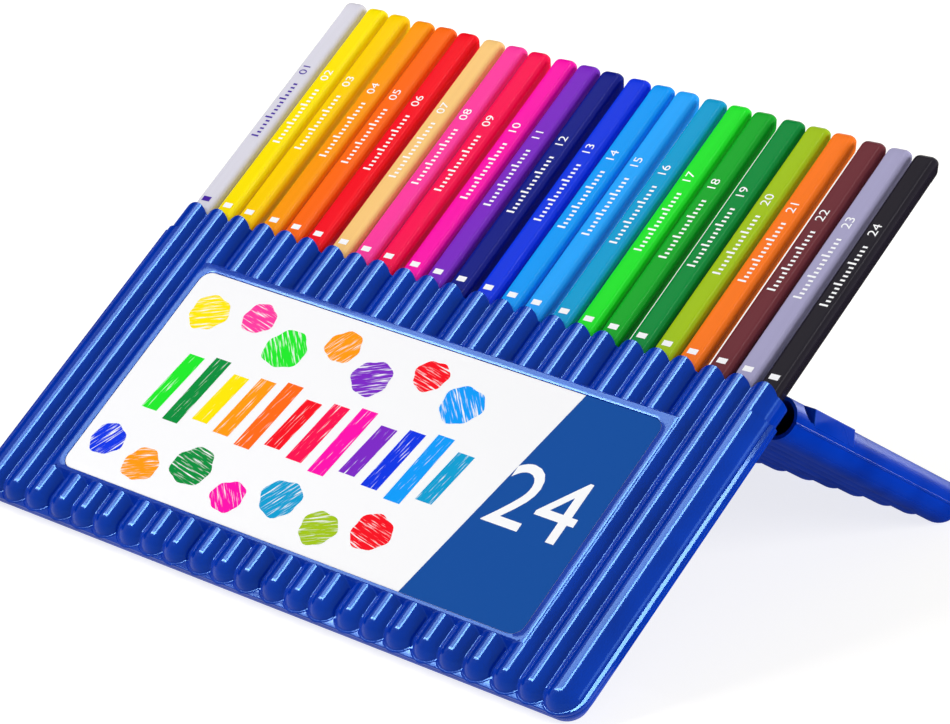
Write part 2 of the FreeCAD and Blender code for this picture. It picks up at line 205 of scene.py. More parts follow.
def mouldedPolystyrene():
    material, tree, shader = newMaterial("mouldedBluePolystyrene")
    point = addNode(tree, "ShaderNodeTexCoord").outputs["Object"]
    tone = patternTone(tree, point, plastic["flowMarks"], 2.0, (0.25, hexColour(plastic["deep"])),
                       (0.6, hexColour(plastic["blue"])))[1]
    facing = addNode(tree, "ShaderNodeLayerWeight", {"Blend": 0.5})
    spread = addNode(tree, "ShaderNodeMapRange",
                     {"Value": facing.outputs["Facing"], "From Min": 0.45, "From Max": 0.85,
                      "To Min": plastic["roughness"], "To Max": plastic["glancing"]})
    finishShader(shader, plastic)
    fillInputs(shader, {"Base Color": tone, "Specular Tint": plastic["sheen"],
                        "Roughness": spread.outputs["Result"],
                        "Normal": fineGrain(tree, plastic["grain"], 0.015, 0.00005)})
    return material


# Drawn steel wire: bright, with the fine roughness that the die leaves
wire = {"steel": "#B9BBC0", "roughness": 0.28, "line": 0.12}


def drawnSteelWire():
    material, tree, shader = newMaterial("drawnSteelWire")
    fillInputs(shader, {"Base Color": wire["steel"], "Metallic": 1.0,
                        "Roughness": wire["roughness"],
                        "Normal": fineGrain(tree, wire["line"], 0.1, 0.00002)})
    return material


# Nitro lacquer on wood, dipped several times: a soft gloss with faint ripples along the pencil
lacquer = {"roughness": 0.2, "ior": 1.46, "level": 0.15, "ripple": 1.6, "stretch": 0.05, "shades": 0.08}
colours = ["#DAD8E4", "#FFE600", "#FFD000", "#FF9A0C", "#FF6A14", "#F80E22", "#FBCB7E", "#FF3CA0", "#FB0E52",
           "#FF0CAC", "#7C28C4", "#0A1884", "#0A36E4", "#0A9CFA", "#22A6FF", "#0A9ED2", "#1EE62A", "#10A828",
           "#008A3A", "#A2C414", "#FF7A1C", "#6C2C34", "#A8A4C8", "#1C1822"]


def lacqueredWood(number):
    material, tree, shader = newMaterial("gloss%02dLacquer" % number)
    base = hexColour(colours[number - 1])
    shaded = [part * (1 - lacquer["shades"]) for part in base[:3]] + [1.0]
    ripples, tone = patternTone(tree, drawnOutPoint(tree, lacquer["stretch"]), lacquer["ripple"], 2.0,
                                (0.0, shaded), (1.0, base))
    bump = addNode(tree, "ShaderNodeBump", {"Height": ripples, "Strength": 0.15, "Distance": 0.00005})
    finishShader(shader, lacquer)
    fillInputs(shader, {"Base Color": tone, "Normal": bump.outputs["Normal"]})
    return material


# Basswood that a sharpener has cut: pale, with grain lines along the pencil
basswood = {"light": "#E2BE8C", "dark": "#C4965E", "roughness": 0.65, "grain": 0.5, "stretch": 0.06}


def cutBasswood():
    material, tree, shader = newMaterial("sharpenedBasswood")
    tone = patternTone(tree, drawnOutPoint(tree, basswood["stretch"]), basswood["grain"], 3.0,
                       (0.35, hexColour(basswood["dark"])), (0.6, hexColour(basswood["light"])))[1]
    finishShader(shader, basswood)
    fillInputs(shader, {"Base Color": tone})
    return material


# Wax and pigment: matt, with the fine scratches of use
pigment = {"roughness": 0.55, "speck": 0.2}


def waxPigment(number):
    material, tree, shader = newMaterial("wax%02dPigment" % number)
    finishShader(shader, pigment)
    fillInputs(shader, {"Base Color": colours[number - 1],
                        "Normal": fineGrain(tree, pigment["speck"], 0.2, 0.00005)})
    return material


def selectOnly(thing):
    bpy.ops.object.select_all(action="DESELECT")
    thing.select_set(True)
    bpy.context.view_layer.objects.active = thing


def moveMesh(thing, matrix):
    thing.data.transform(matrix)
    thing.data.update()


def coat(thing, *materials):
    thing.data.materials.clear()
    for material in materials:
        thing.data.materials.append(material)


# adds one modifier with its settings, and applies it
def applyModifier(thing, kind, **settings):
    modifier = thing.modifiers.new(kind, kind)
    for name, value in settings.items():
        setattr(modifier, name, value)
    selectOnly(thing)
    bpy.ops.object.modifier_apply(modifier=kind)


def ownCopy(thing, name):
    copy = thing.copy()
    copy.data = thing.data.copy()
    copy.name = name
    bpy.context.collection.objects.link(copy)
    return copy


def smoothSheet(thing, degrees=35):
    selectOnly(thing)
    bpy.ops.object.shade_smooth_by_angle(angle=math.radians(degrees))
    return thing


# piece that an operator adds
def added(name, operator, **settings):
    bpy.ops.object.select_all(action="DESELECT")
    operator(**settings)
    bpy.context.object.name = name
    return bpy.context.object


# sheet of quads, whose corners where(column, line) gives in the case's millimetres
def sheet(name, columns, lines, where):
    thing = added(name, bpy.ops.mesh.primitive_grid_add, x_subdivisions=columns, y_subdivisions=lines,
                  size=2)
    for vertex in thing.data.vertices:
        column = round((vertex.co.x + 1) / 2 * columns)
        line = round((vertex.co.y + 1) / 2 * lines)
        vertex.co = where(column, line)
    return thing


# one mesh operator on the faces that chosen(face) picks
def editFaces(thing, chosen, operator, **settings):
    selectOnly(thing)
    bpy.ops.object.mode_set(mode="EDIT")
    bpy.ops.mesh.select_mode(type="FACE")
    bpy.ops.mesh.select_all(action="DESELECT")
    bpy.ops.object.mode_set(mode="OBJECT")
    for face in thing.data.polygons:
        face.select = chosen(face)
    bpy.ops.object.mode_set(mode="EDIT")
    operator(**settings)
    bpy.ops.object.mode_set(mode="OBJECT")
    return thing


def thickened(thing, wall):
    applyModifier(thing, "SOLIDIFY", thickness=wall, offset=-1)
    return smoothSheet(thing)


# one mesh operator on all of a piece
def editAll(thing, operator, **settings):
    selectOnly(thing)
    bpy.ops.object.mode_set(mode="EDIT")
    bpy.ops.mesh.select_all(action="SELECT")
    operator(**settings)
    bpy.ops.object.mode_set(mode="OBJECT")
    return thing


# turns a sheet over where the face in its middle looks away from the outside
def turnOut(thing, outside):
    face = thing.data.polygons[len(thing.data.polygons) // 2]
    inward = face.normal.dot(Vector(outside)) < 0
    return editAll(thing, bpy.ops.mesh.flip_normals) if inward else thing


def outwardFaces(thing):
    return smoothSheet(editAll(thing, bpy.ops.mesh.normals_make_consistent, inside=False))


def mirrored(thing, name):
    copy = ownCopy(thing, name)
    moveMesh(copy, Matrix.Scale(-1, 4, (1, 0, 0)))
    return editAll(copy, bpy.ops.mesh.flip_normals)


# flat outline, corners in order, drawn out into a solid with rounded edges
def prism(name, corners, way, edge=0.0):
    thing = added(name, bpy.ops.mesh.primitive_circle_add, vertices=len(corners), fill_type="NGON")
    for vertex, corner in zip(thing.data.vertices, corners):
        vertex.co = corner
    editAll(thing, bpy.ops.mesh.extrude_region_move, TRANSFORM_OT_translate={"value": way})
    editAll(thing, bpy.ops.mesh.normals_make_consistent, inside=False)
    if edge:
        applyModifier(thing, "BEVEL", width=edge, segments=3, limit_method="ANGLE")
    return smoothSheet(thing)


def joinAll(things, name):
    bpy.ops.object.select_all(action="DESELECT")
    for thing in things:
        thing.select_set(True)
    bpy.context.view_layer.objects.active = things[0]
    bpy.ops.object.join()
    bpy.context.object.name = name
    return bpy.context.object


# evenly spaced angles in radians, from a first angle and a sweep in degrees
def spacedTurns(first, sweep, steps):
    return [math.radians(first + sweep * step / steps) for step in range(steps + 1)]


def roundedCorners(halfX, lowY, highY, radius, z, steps=10):
    corners = []
    for across, up, start in ((1, 1, 0), (-1, 1, 90), (-1, -1, 180), (1, -1, 270)):
        centreX = across * (halfX - radius)
        centreY = highY - radius if up > 0 else lowY + radius
        corners += [Vector((centreX + radius * math.cos(turn), centreY + radius * math.sin(turn), z))
                    for turn in spacedTurns(start, 90, steps)]
    return corners


# larger of two heights, with a small round where they cross
def smoothMax(first, second, width):
    near = max(width - abs(first - second), 0) / width
    return max(first, second) + near * near * width / 4


# distance of a ribbed surface from the line through the tubes' middles
def ribReach(x, radius):
    after = bisect.bisect(tubes, x)
    reaches = [math.sqrt(max(radius ** 2 - (x - tubes[at]) ** 2, 0.0001))
               for at in (after - 1, after) if 0 <= at < len(tubes)]
    if len(reaches) < 2:
        return reaches[0]
    middle = (tubes[after] - tubes[after - 1]) / 2
    land = math.sqrt(radius ** 2 - (middle - body["valleyLand"]) ** 2)
    return smoothMax(max(reaches), land, body["valleyRound"])


# where the mesh has its lengthways lines: spread by angle over each tube, and closer at the valleys
ribMesh = {"steps": 11, "angle": 64.8, "offValley": (0.1, 0.22, 0.34, 0.6), "sideSteps": 14}


def ribLines(radius):
    lines = set()
    half = row["pitch"] / 2
    widest = math.radians(ribMesh["angle"])
    for x in tubes:
        for step in range(-ribMesh["steps"], ribMesh["steps"] + 1):
            lines.add(round(x + half * math.sin(widest * step / ribMesh["steps"]) / math.sin(widest), 3))
        for off in ribMesh["offValley"]:
            lines.add(round(x + half - off, 3))
            lines.add(round(x - half + off, 3))
    for x, after in zip(tubes, tubes[1:]):
        if after - x > row["pitch"] + 0.1:
            for share in (0.25, 0.5, 0.75):
                lines.add(round(x + half + share * (after - x - row["pitch"]), 3))
    inner = [x for x in sorted(lines) if abs(x) <= rowEdge]
    outer = [rowEdge + radius * math.sin(math.pi / 2 * step / ribMesh["sideSteps"])
             for step in range(1, ribMesh["sideSteps"] + 1)]
    return [-x for x in reversed(outer)] + inner + outer


def inRecess(x, y):
    inward = min(tubeX(plate["lastTube"]) - abs(x) - plate["frame"], y - plate["low"] - plate["lowFrame"],
                 plate["high"] - y - plate["frame"])
    return inward > -plate["margin"]


# height of the label's plate, which the tubes run into; under the card it lies low
def plateHeight(x, y):
    top = body["crest"] + plate["proud"]
    aside = max(abs(x) - tubeX(plate["lastTube"]), 0)
    beyond = max(plate["low"] - y, y - plate["high"], 0)
    if inRecess(x, y):
        return top - plate["recess"] - plate["under"]
    if aside > 0:
        return top - aside * plate["sideSlope"]
    return top - beyond / plate["draft"] * plate["endDrop"]


# cross lines of the front between domes and neck, closer where the plate rises and its recess starts
def crossLines():
    lines = [5.0, plate["low"] - plate["draft"] - 0.3, plate["low"] + 8, 45.0, plate["high"] - 8,
             plate["high"] + plate["draft"] + 0.3, 84.0, body["neckStart"]]
    for step in range(11):
        lines += [plate["low"] - plate["draft"] * (1 - step / 10), plate["high"] + plate["draft"] * step / 10]
    for edge, way, wide in ((plate["low"], 1, plate["lowFrame"]), (plate["high"], -1, plate["frame"])):
        step = wide - plate["margin"]
        lines += [edge + way * off for off in (0.03, step - 0.05, step + 0.05)]
    return sorted(set(round(y, 3) for y in lines))


def ribbedFront():
    columns = ribLines(body["radius"])
    straight = crossLines()
    turns, mouthLines = 14, 6
    lines = turns + len(straight) + mouthLines

    def where(column, line):
        x = columns[column]
        reach = ribReach(x, body["radius"])
        height = tubeCentre + reach
        if line <= turns:
            turn = math.radians(90 * line / turns)
            return (x, domeY - reach * math.cos(turn), tubeCentre + reach * math.sin(turn))
        line -= turns + 1
        if line < len(straight):
            y = straight[line]
            level = plateHeight(x, y)
            return (x, y, level if inRecess(x, y) else smoothMax(height, level, plate["blend"]))
        share = (line - len(straight) + 1) / mouthLines
        end = max(body["mouth"] - (body["crest"] - height), neckTop)
        return (x, body["neckStart"] + (end - body["neckStart"]) * share, height)

    thing = turnOut(sheet("ribbedFront", len(columns) - 1, lines, where), (0, 0, 1))
    return thickened(thing, body["wall"])


# points of a rounded side, from the flat of the face outwards and round to the parting: (outward, z)
def sideProfile(reach, radius, centre, face, end, steps=16):
    start = 90 if face > centre else -90
    stop = math.degrees(math.asin((end - centre) / radius))
    return [(0, face)] + [(reach + radius * math.cos(turn), centre + radius * math.sin(turn))
                          for turn in spacedTurns(start, stop - start, steps)]


# profile swept along one side and round its corner; whole, it also runs along the end and up the other side.
# It bends towards the end that lies downwards (-1) or upwards (1) in y.
def sweptEdge(name, profile, mouthY, bendY, bend=-1, whole=True, cap=True):
    stations = []
    for sideways in ((1, -1) if whole else (1,)):
        part = [((rowEdge, mouthY), None)] if cap else []
        part.append(((rowEdge, mouthY), (1, 0)))
        part += [((rowEdge, bendY), (math.cos(turn), bend * math.sin(turn)))
                 for turn in spacedTurns(0, 90, 12)]
        part = [((sideways * spot[0], spot[1]), way and (sideways * way[0], way[1])) for spot, way in part]
        stations += part if sideways > 0 else part[::-1]

    def where(column, line):
        out, z = profile[column]
        spot, way = stations[line]
        if way is None:
            return (spot[0], spot[1], (profile[0][1] + body["parting"]) / 2)
        return (spot[0] + way[0] * out, spot[1] + way[1] * out, z)

    return sheet(name, len(profile) - 1, len(stations) - 1, where)


def rimHalf(name, low, high):
    wide = rowEdge + body["sideReach"] + sideRadius + rim["reach"]
    corner = body["sideReach"] + sideRadius + rim["reach"]
    corners = roundedCorners(wide, body["foot"] - rim["foot"], body["neckStart"] + corner, corner, low, 12)
    corners = [spot for spot in corners if spot.y < body["neckStart"] - 1]
    corners = [Vector((-wide, body["neckStart"], low))] + corners + [Vector((wide, body["neckStart"], low))]
    return prism(name, corners, (0, 0, high - low), rim["edge"])


# small round and ledge between each tube's end and the rim, which catch the light
def footRounds():
    level = body["parting"] + rim["thickness"]
    size = body["footRound"]
    ledge = body["footLedge"] / size
    steps = [(0, 1.0), (0.16, 0.62), (0.4, 0.3), (0.7, 0.2), (1.0, 0.17), (1.0 + ledge, 0.01),
             (1.05 + ledge, -0.05)]
    inner = math.sqrt(body["radius"] ** 2 - (level + size - tubeCentre) ** 2)
    halfTurn, columns = 58, 14
    pieces = []
    for x in tubes:
        def where(column, line, x=x):
            turn = math.radians(halfTurn * (2 * column / columns - 1))
            reach = inner + size * steps[line][0]
            return (x + reach * math.sin(turn), domeY - reach * math.cos(turn), level + size * steps[line][1])
        pieces.append(turnOut(sheet("footRound", columns, len(steps) - 1, where), (0, -1, 1)))
    return smoothSheet(joinAll(pieces, "footRounds"), 60)


# frame between the plate's square outer edge and the rounded recess of the card
def framePiece():
    half = tubeX(plate["lastTube"])
    low, high = plate["low"] + plate["lowFrame"], plate["high"] - plate["frame"]
    top = body["crest"] + plate["proud"]
    inner = roundedCorners(half - plate["frame"], low, high, plate["corner"], 0, 8)
    spread = 0.6
    outer = []
    for spot in inner:
        pastX = abs(spot.x) - (half - plate["frame"] - plate["corner"])
        pastY = max(low + plate["corner"] - spot.y, spot.y - high + plate["corner"])
        edgeY = plate["low"] if spot.y < (low + high) / 2 else plate["high"]
        upY = edgeY - spot.y
        if pastX > pastY:
            wide, tall = half, spot.y + math.copysign(min(max(pastY, 0) * spread, abs(upY)), upY)
        else:
            wide, tall = min(half, abs(spot.x) + max(pastX, 0) * spread), edgeY
        outer.append(Vector((math.copysign(wide, spot.x), tall, 0)))
    levels = [(1, -0.3), (1, -0.03), (0.98, 0.0), (0.06, 0.0), (0.02, -0.03), (0, -0.1),
              (0, -plate["recess"] - 0.1)]

    def where(column, line):
        share, drop = levels[line]
        spot = inner[column % len(inner)].lerp(outer[column % len(inner)], share)
        return (spot.x, spot.y, top + drop + plate["frameLift"])

    return smoothSheet(turnOut(sheet("plateFrame", len(inner), len(levels) - 1, where), (0, 0, 1)), 25)


def bodyFront():
    pieces = [ribbedFront()]
    profile = sideProfile(body["sideReach"], sideRadius, sideCentre, body["crest"], body["parting"] + 0.3)
    right = turnOut(sweptEdge("sideFront", profile, body["neckStart"], cornerY, whole=False), (1, 0, 1))
    pieces += [smoothSheet(right, 50), smoothSheet(mirrored(right, "otherSideFront"), 50)]
    pieces.append(rimHalf("rimFront", body["parting"], body["parting"] + rim["thickness"]))
    pieces += [footRounds(), framePiece()]
    return joinAll(pieces, "bodyFrontShell")


def neckBack():
    side = rowEdge + math.sqrt(body["radius"] ** 2 - (body["parting"] - tubeCentre) ** 2)
    corner = body["neckCorner"]
    points = [(side, body["parting"])]
    points += [(side - corner * (1 - math.cos(turn)), body["neckBack"] + corner * (1 - math.sin(turn)))
               for turn in spacedTurns(0, 90, 8)]
    points += [(-x, z) for x, z in reversed(points)]
    heights = [body["neckStart"] - body["neckLap"], neckTop - body["neckLip"], neckTop]

    def where(column, line):
        x, z = points[column]
        return (x, heights[line], z)

    thing = turnOut(sheet("neckBack", len(points) - 1, 2, where), (0, 0, -1))
    return thickened(thing, body["neckWall"])


# points of an arc in the plane across the hinge
def arcPoints(x, y, z, radius, first, sweep, steps):
    return [Vector((x, y + radius * math.cos(turn), z + radius * math.sin(turn)))
            for turn in spacedTurns(first, sweep, steps)]


# lug that holds a pin, from the case's back round the pin
def lugPiece(start):
    radius = knuckle["radius"]
    root = body["back"] + knuckle["sink"]
    corners = arcPoints(start, hinge["height"], hinge["depth"], radius, -205, 220, 18)
    corners.append(Vector((start, hinge["height"] + radius * 0.6, root)))
    corners.append(Vector((start, hinge["height"] - 2 * radius, root)))
    return prism("lug", corners, (knuckle["lugWidth"], 0, 0), knuckle["lugEdge"])


# flat of a back between its rounded sides
def backFlat(name, lowY, highY, steps):
    def where(column, line):
        return (-rowEdge + 2 * rowEdge * column / steps, lowY + (highY - lowY) * line / steps, body["back"])

    return turnOut(sheet(name, steps, steps, where), (0, 0, -1))


def bodyBack():
    profile = sideProfile(body["sideReach"], sideRadius, sideCentre, body["back"], body["parting"])
    edge = sweptEdge("sideBack", profile, body["neckStart"], cornerY)
    flat = backFlat("flatBack", cornerY, body["neckStart"], 2)
    pieces = [outwardFaces(edge), smoothSheet(flat), neckBack()]
    pieces.append(rimHalf("rimBack", body["parting"] - rim["thickness"], body["parting"]))
    for spot in (-knuckle["spread"], knuckle["spread"]):
        pieces.append(lugPiece(spot - knuckle["width"] / 2 - knuckle["lugWidth"]))
        pieces.append(lugPiece(spot + knuckle["width"] / 2))
    return joinAll(pieces, "bodyBackShell")


# the lid is drawn with its mouth at y = 0 and its end up
def lidRibs():
    columns = ribLines(lidTube)
    straight = [0.0, 0.3, *lid["meshLines"]]
    turns = 14

    def where(column, line):
        x = columns[column]
        reach = ribReach(x, lidTube)
        if line < len(straight):
            return (x, straight[line], tubeCentre + reach)
        turn = math.radians(90 * (line - len(straight)) / turns)
        return (x, lidEndY + reach * math.sin(turn), tubeCentre + reach * math.cos(turn))

    thing = turnOut(sheet("lidRibs", len(columns) - 1, len(straight) + turns, where), (0, 0, 1))
    return thickened(thing, lid["wall"])


def lidSeam(name, low):
    root, out = lidTube - lid["seamRoot"], lidTube + lid["seamProud"]
    high = low + lid["seamWidth"]
    chamfer = lid["seamRound"]
    profile = [(root, low), (out - chamfer, low), (out, low + chamfer), (out, high - chamfer),
               (out - chamfer, high), (root, high)]
    return outwardFaces(sweptEdge(name, profile, 0.0, lidEndY, bend=1, cap=False))


# open hook that snaps over a pin, and the web that joins it to the lid
def hookPiece(start):
    y, z = -hinge["fromPin"], lidCrest + hinge["abovePin"]
    width = knuckle["width"] - 2 * knuckle["gap"]
    gape = math.degrees(math.asin(knuckle["slot"] / 2 / knuckle["radius"]))
    inside = math.degrees(math.asin(knuckle["slot"] / 2 / knuckle["bore"]))
    corners = arcPoints(start, y, z, knuckle["radius"], 90 + gape, 360 - 2 * gape, 24)
    corners += arcPoints(start, y, z, knuckle["bore"], 90 - inside, 2 * inside - 360, 24)
    ring = prism("hookRing", corners, (width, 0, 0), knuckle["hookEdge"])
    slant = knuckle["radius"] * 0.72
    root = lidCrest - lid["wall"] / 2
    inset = knuckle["webInset"]
    outline = ((y - slant, z - slant), (0.3, root), (knuckle["hookRoot"], root), (y + slant, z + slant * 0.9),
               (y + slant * 1.1, z - slant * 0.6))
    web = [Vector((start + inset, *spot)) for spot in outline]
    return [ring, prism("hookWeb", web, (width - 2 * inset, 0, 0), knuckle["webEdge"])]


def lidFront():
    pieces = [lidRibs()]
    profile = sideProfile(lidSideReach, lidRadius, lidCentre, lidCrest, body["parting"])
    right = turnOut(sweptEdge("lidSide", profile, 0.0, lidEndY, bend=1, whole=False, cap=False), (1, 0, 1))
    left = mirrored(right, "otherLidSide")
    pieces += [thickened(right, lid["wall"]), thickened(left, lid["wall"])]
    pieces.append(lidSeam("seamFront", body["parting"]))
    for spot in (-knuckle["spread"], knuckle["spread"]):
        pieces += hookPiece(spot - knuckle["width"] / 2 + knuckle["gap"])
    return joinAll(pieces, "lidFrontShell")


def gripPiece(sideways):
    far = sideways * (rowEdge + lidTube - lid["gripSink"])
    edge = sideways * (rowEdge + lid["gripEdge"])
    near = sideways * (rowEdge + lid["gripRoot"])
    low = body["parting"] - lid["gripLow"]
    start = lid["gripStart"]
    corners = [Vector((near + sideways * lid["gripShelf"], start, low)), Vector((far, start, low)),
               Vector((edge, start, body["back"])), Vector((near, start, body["back"]))]
    return prism("grip", corners[::sideways], (0, lid["gripLength"], 0), lid["gripRound"])


# one rounded side of the lid's back, with the notch in front of its grip
def lidBackSide(profile):
    lines = [0.0] + [lid["gripStart"] - lid["notchWidth"] + 0.2 * step for step in range(-1, 22)]
    lines += lid["meshLines"]
    turns = 12
    half = (body["parting"] - lid["notchLow"] - body["back"]) / 2
    middleZ = body["back"] + half

    def where(column, line):
        out, z = profile[column]
        if line < len(lines):
            return (rowEdge + out, lines[line], z)
        turn = math.radians(90 * (line - len(lines)) / turns)
        return (rowEdge + out * math.cos(turn), lidEndY + out * math.sin(turn), z)

    def inNotch(face):
        x, y, z = face.center
        swell = 1 - ((z - middleZ) / (half + lid["notchOver"])) ** 2
        start = lid["gripStart"] - lid["notchWidth"] * math.sqrt(max(swell, 0))
        return swell > 0 and start < y < lid["gripStart"] + 0.1 and x > rowEdge + lid["notchFrom"]

    side = turnOut(sheet("lidBackSide", len(profile) - 1, len(lines) + turns, where), (1, 0, -1))
    return editFaces(side, inNotch, bpy.ops.mesh.delete, type="FACE")


def lidBack():
    profile = sideProfile(lidSideReach, lidRadius, lidCentre, body["back"], body["parting"], 22)

    def endRun(column, line):
        out, z = profile[column]
        return (-rowEdge + 2 * rowEdge * line / 4, lidEndY + out, z)

    right = lidBackSide(profile)
    sheets = [right, mirrored(right, "otherLidBackSide"),
              turnOut(sheet("lidEnd", len(profile) - 1, 4, endRun), (0, 1, -1)),
              backFlat("lidFlat", 0.0, lidEndY, 4)]
    pieces = [thickened(thing, lid["wall"]) for thing in sheets]
    pieces.append(lidSeam("seamBack", body["parting"] - lid["seamWidth"]))
    pieces += [gripPiece(-1), gripPiece(1)]
    return joinAll(pieces, "lidBackShell")


blue = mouldedPolystyrene()
steel = drawnSteelWire()
for make, node, name, matrix in ((bodyFront, "body_front_shell", "case", caseToRow),
                                 (bodyBack, "body_back_shell", "case", caseToRow),
                                 (lidFront, "lid_front_shell", "lid", lidToRow),
                                 (lidBack, "lid_back_shell", "lid", lidToRow)):
    shell = make()
    coat(shell, blue)
    moveMesh(shell, matrix)
    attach(shell, name)
    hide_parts(node)
    print(node, "made,", len(shell.data.polygons), "faces")
for name, node in frame["nodes"].items():
    if "pin" in name:
        coat(node, steel)

# Pencils: a rounded triangle, one of whose flats faces forward
pencil = {"width": 7.1, "corner": 1.6, "length": 172.0, "dome": 1.9, "dip": 2.2, "dipShare": 1.012,
          "core": 1.5, "coreEnd": 4.0, "tip": 0.3, "sharpened": 21.0, "sharpeningPast": 1.5, "turn": 6.0,
          "clearance": 0.1, "tipClearance": 0.3}
marks = {"number": 146.5, "size": 4.0, "tickStart": 122.0, "tickEnd": 141.0, "ticks": 14, "tickWidth": 0.55,
         "tickEdge": 1.4, "short": 1.5, "long": 2.7, "bar": 98.8, "barWidth": 3.0, "barHeight": 1.6,
         "lift": 0.02}
pencilSide = pencil["width"] - 2 * pencil["corner"]
flatReach = pencilSide / math.sqrt(12) + pencil["corner"]
pencilReach = pencilSide / math.sqrt(3) + pencil["corner"]
coneSlope = (pencilReach - pencil["tip"]) / pencil["sharpened"]
coreBare = (pencil["core"] - pencil["tip"]) / coneSlope
pencilZ = body["neckBack"] + body["neckWall"] + pencil["clearance"] + pencilReach
innerRadius = body["radius"] - body["wall"]
tubeFloor = domeY - math.sqrt(body["radius"] ** 2 - innerRadius ** 2) + body["wall"]
tipY = tubeFloor + pencil["tipClearance"]


# distance from the axis to the lacquered surface, in the direction of an angle
def triangleReach(angle):
    swings = [angle - math.radians(90 + 120 * face) for face in range(3)]
    swing = min(abs((value + math.pi) % (2 * math.pi) - math.pi) for value in swings)
    across, out = pencilSide / 2, pencilSide / math.sqrt(12)
    if swing < math.atan2(across, flatReach):
        return flatReach / math.cos(swing)
    ahead = math.sin(swing) * across + math.cos(swing) * out
    aside = across ** 2 + out ** 2 - ahead ** 2
    return ahead + math.sqrt(pencil["corner"] ** 2 - aside)


# rings from the lead to the blunt end: (y, the most that a ring may reach, share of the lacquer's reach)
def casingRings():
    rings = [(coreBare, pencil["core"], 1.0)]
    for step in range(1, 15):
        y = coreBare + (pencil["sharpened"] + pencil["sharpeningPast"] - coreBare) * step / 14
        rings.append((y, pencil["tip"] + coneSlope * y, 1.0))
    shoulder = pencil["length"] - pencil["dome"]
    dipStart = shoulder - pencil["dip"]
    thick = pencil["dipShare"]
    for y, share in ((60.0, 1.0), (130.0, 1.0), (dipStart - 0.15, 1.0), (dipStart, thick), (shoulder, thick)):
        rings.append((y, math.inf, share))
    for step in range(1, 9):
        rise = math.radians(90 * step / 8)
        share = thick - 0.5 * (1 - math.cos(rise)) ** 1.15
        rings.append((shoulder + pencil["dome"] * math.sin(rise), math.inf, share))
    return rings


def makeCasing(name):
    around = 72
    rings = casingRings()
    angles = [2 * math.pi * number / around for number in range(around)]

    def where(column, line):
        y, most, share = rings[line]
        angle = angles[column % around]
        reach = min(most, triangleReach(angle)) * share
        return (math.cos(angle) * reach, y, math.sin(angle) * reach)

    thing = sheet(name, around, len(rings) - 1, where)
    editAll(thing, bpy.ops.mesh.remove_doubles, threshold=0.0001)
    bpy.ops.object.mode_set(mode="EDIT")
    bpy.ops.mesh.select_mode(type="EDGE")
    bpy.ops.mesh.select_all(action="DESELECT")
    bpy.ops.mesh.select_non_manifold()
    bpy.ops.mesh.edge_face_add()
    bpy.ops.object.mode_set(mode="OBJECT")
    return thing


def paintWood(thing):
    for face in thing.data.polygons:
        middle = face.center
        reach = triangleReach(math.atan2(middle.z, middle.x))
        cut = math.hypot(middle.x, middle.z) < reach - 0.03
        sharpened = cut and middle.y < pencil["sharpened"] + pencil["sharpeningPast"]
        face.material_index = 1 if sharpened else 0


def makeCore(name):
    thing = added(name, bpy.ops.mesh.primitive_cone_add, vertices=32, radius1=pencil["tip"],
                  radius2=pencil["core"], depth=coreBare, end_fill_type="NGON",
                  location=(0, coreBare / 2, 0), rotation=(-math.pi / 2, 0, 0))
    bpy.ops.object.transform_apply(location=True, rotation=True, scale=True)

    def isWideEnd(face):
        return len(face.vertices) > 4 and face.center.y > coreBare / 2

    run = (0, pencil["length"] - pencil["coreEnd"] - coreBare, 0)
    editFaces(thing, isWideEnd, bpy.ops.mesh.extrude_region_move, TRANSFORM_OT_translate={"value": run})
    return smoothSheet(thing, 40)


def pencilMatrix(x):
    return (caseToRow @ Matrix.Translation((x, tipY, pencilZ))
            @ Matrix.Rotation(-math.radians(pencil["turn"]), 4, "Y"))


# plain number in flat mesh; turned, it reads along the pencil towards its blunt end
def writtenNumber(name, words, size, spot, turned=True):
    thing = added(name, bpy.ops.object.text_add)
    thing.data.body = words
    thing.data.size = size
    thing.data.align_x = "CENTER"
    thing.data.align_y = "CENTER"
    thing.data.resolution_u = 4
    bpy.ops.object.convert(target="MESH")
    thing = bpy.context.object
    thing.name = name
    turn = Matrix.Rotation(math.pi / 2 if turned else 0, 4, "Z")
    moveMesh(thing, Matrix.Translation(spot) @ turn)
    return thing


def pencilMarks(number):
    level = flatReach + marks["lift"]
    pieces = [writtenNumber("shadeNumber", "%02d" % number, marks["size"], (0.2, marks["number"], level))]

    def addBlock(name, x, y, wide, high):
        patch = sheet(name, 1, 1, lambda column, line: (x - wide * line, y + high * (column - 0.5), level))
        pieces.append(turnOut(patch, (0, 0, 1)))

    for tick in range(marks["ticks"] + 1):
        y = marks["tickStart"] + (marks["tickEnd"] - marks["tickStart"]) * tick / marks["ticks"]
        addBlock("tick", marks["tickEdge"], y, marks["long"] if tick % 5 == 0 else marks["short"],
                 marks["tickWidth"])
    addBlock("bar", marks["barWidth"] / 2, marks["bar"], marks["barWidth"], marks["barHeight"])
    return joinAll(pieces, "pencil%02dMarks" % number)


# Screen ink: opaque and a little rough, with tiny pinholes
ink = {"roughness": 0.42, "level": 0.12, "white": "#FBFBFD", "violet": "#45209A", "grain": 0.12}


def screenInk(name, code):
    material, tree, shader = newMaterial(name)
    finishShader(shader, ink)
    fillInputs(shader, {"Base Color": code, "Normal": fineGrain(tree, ink["grain"], 0.15, 0.00002)})
    return material


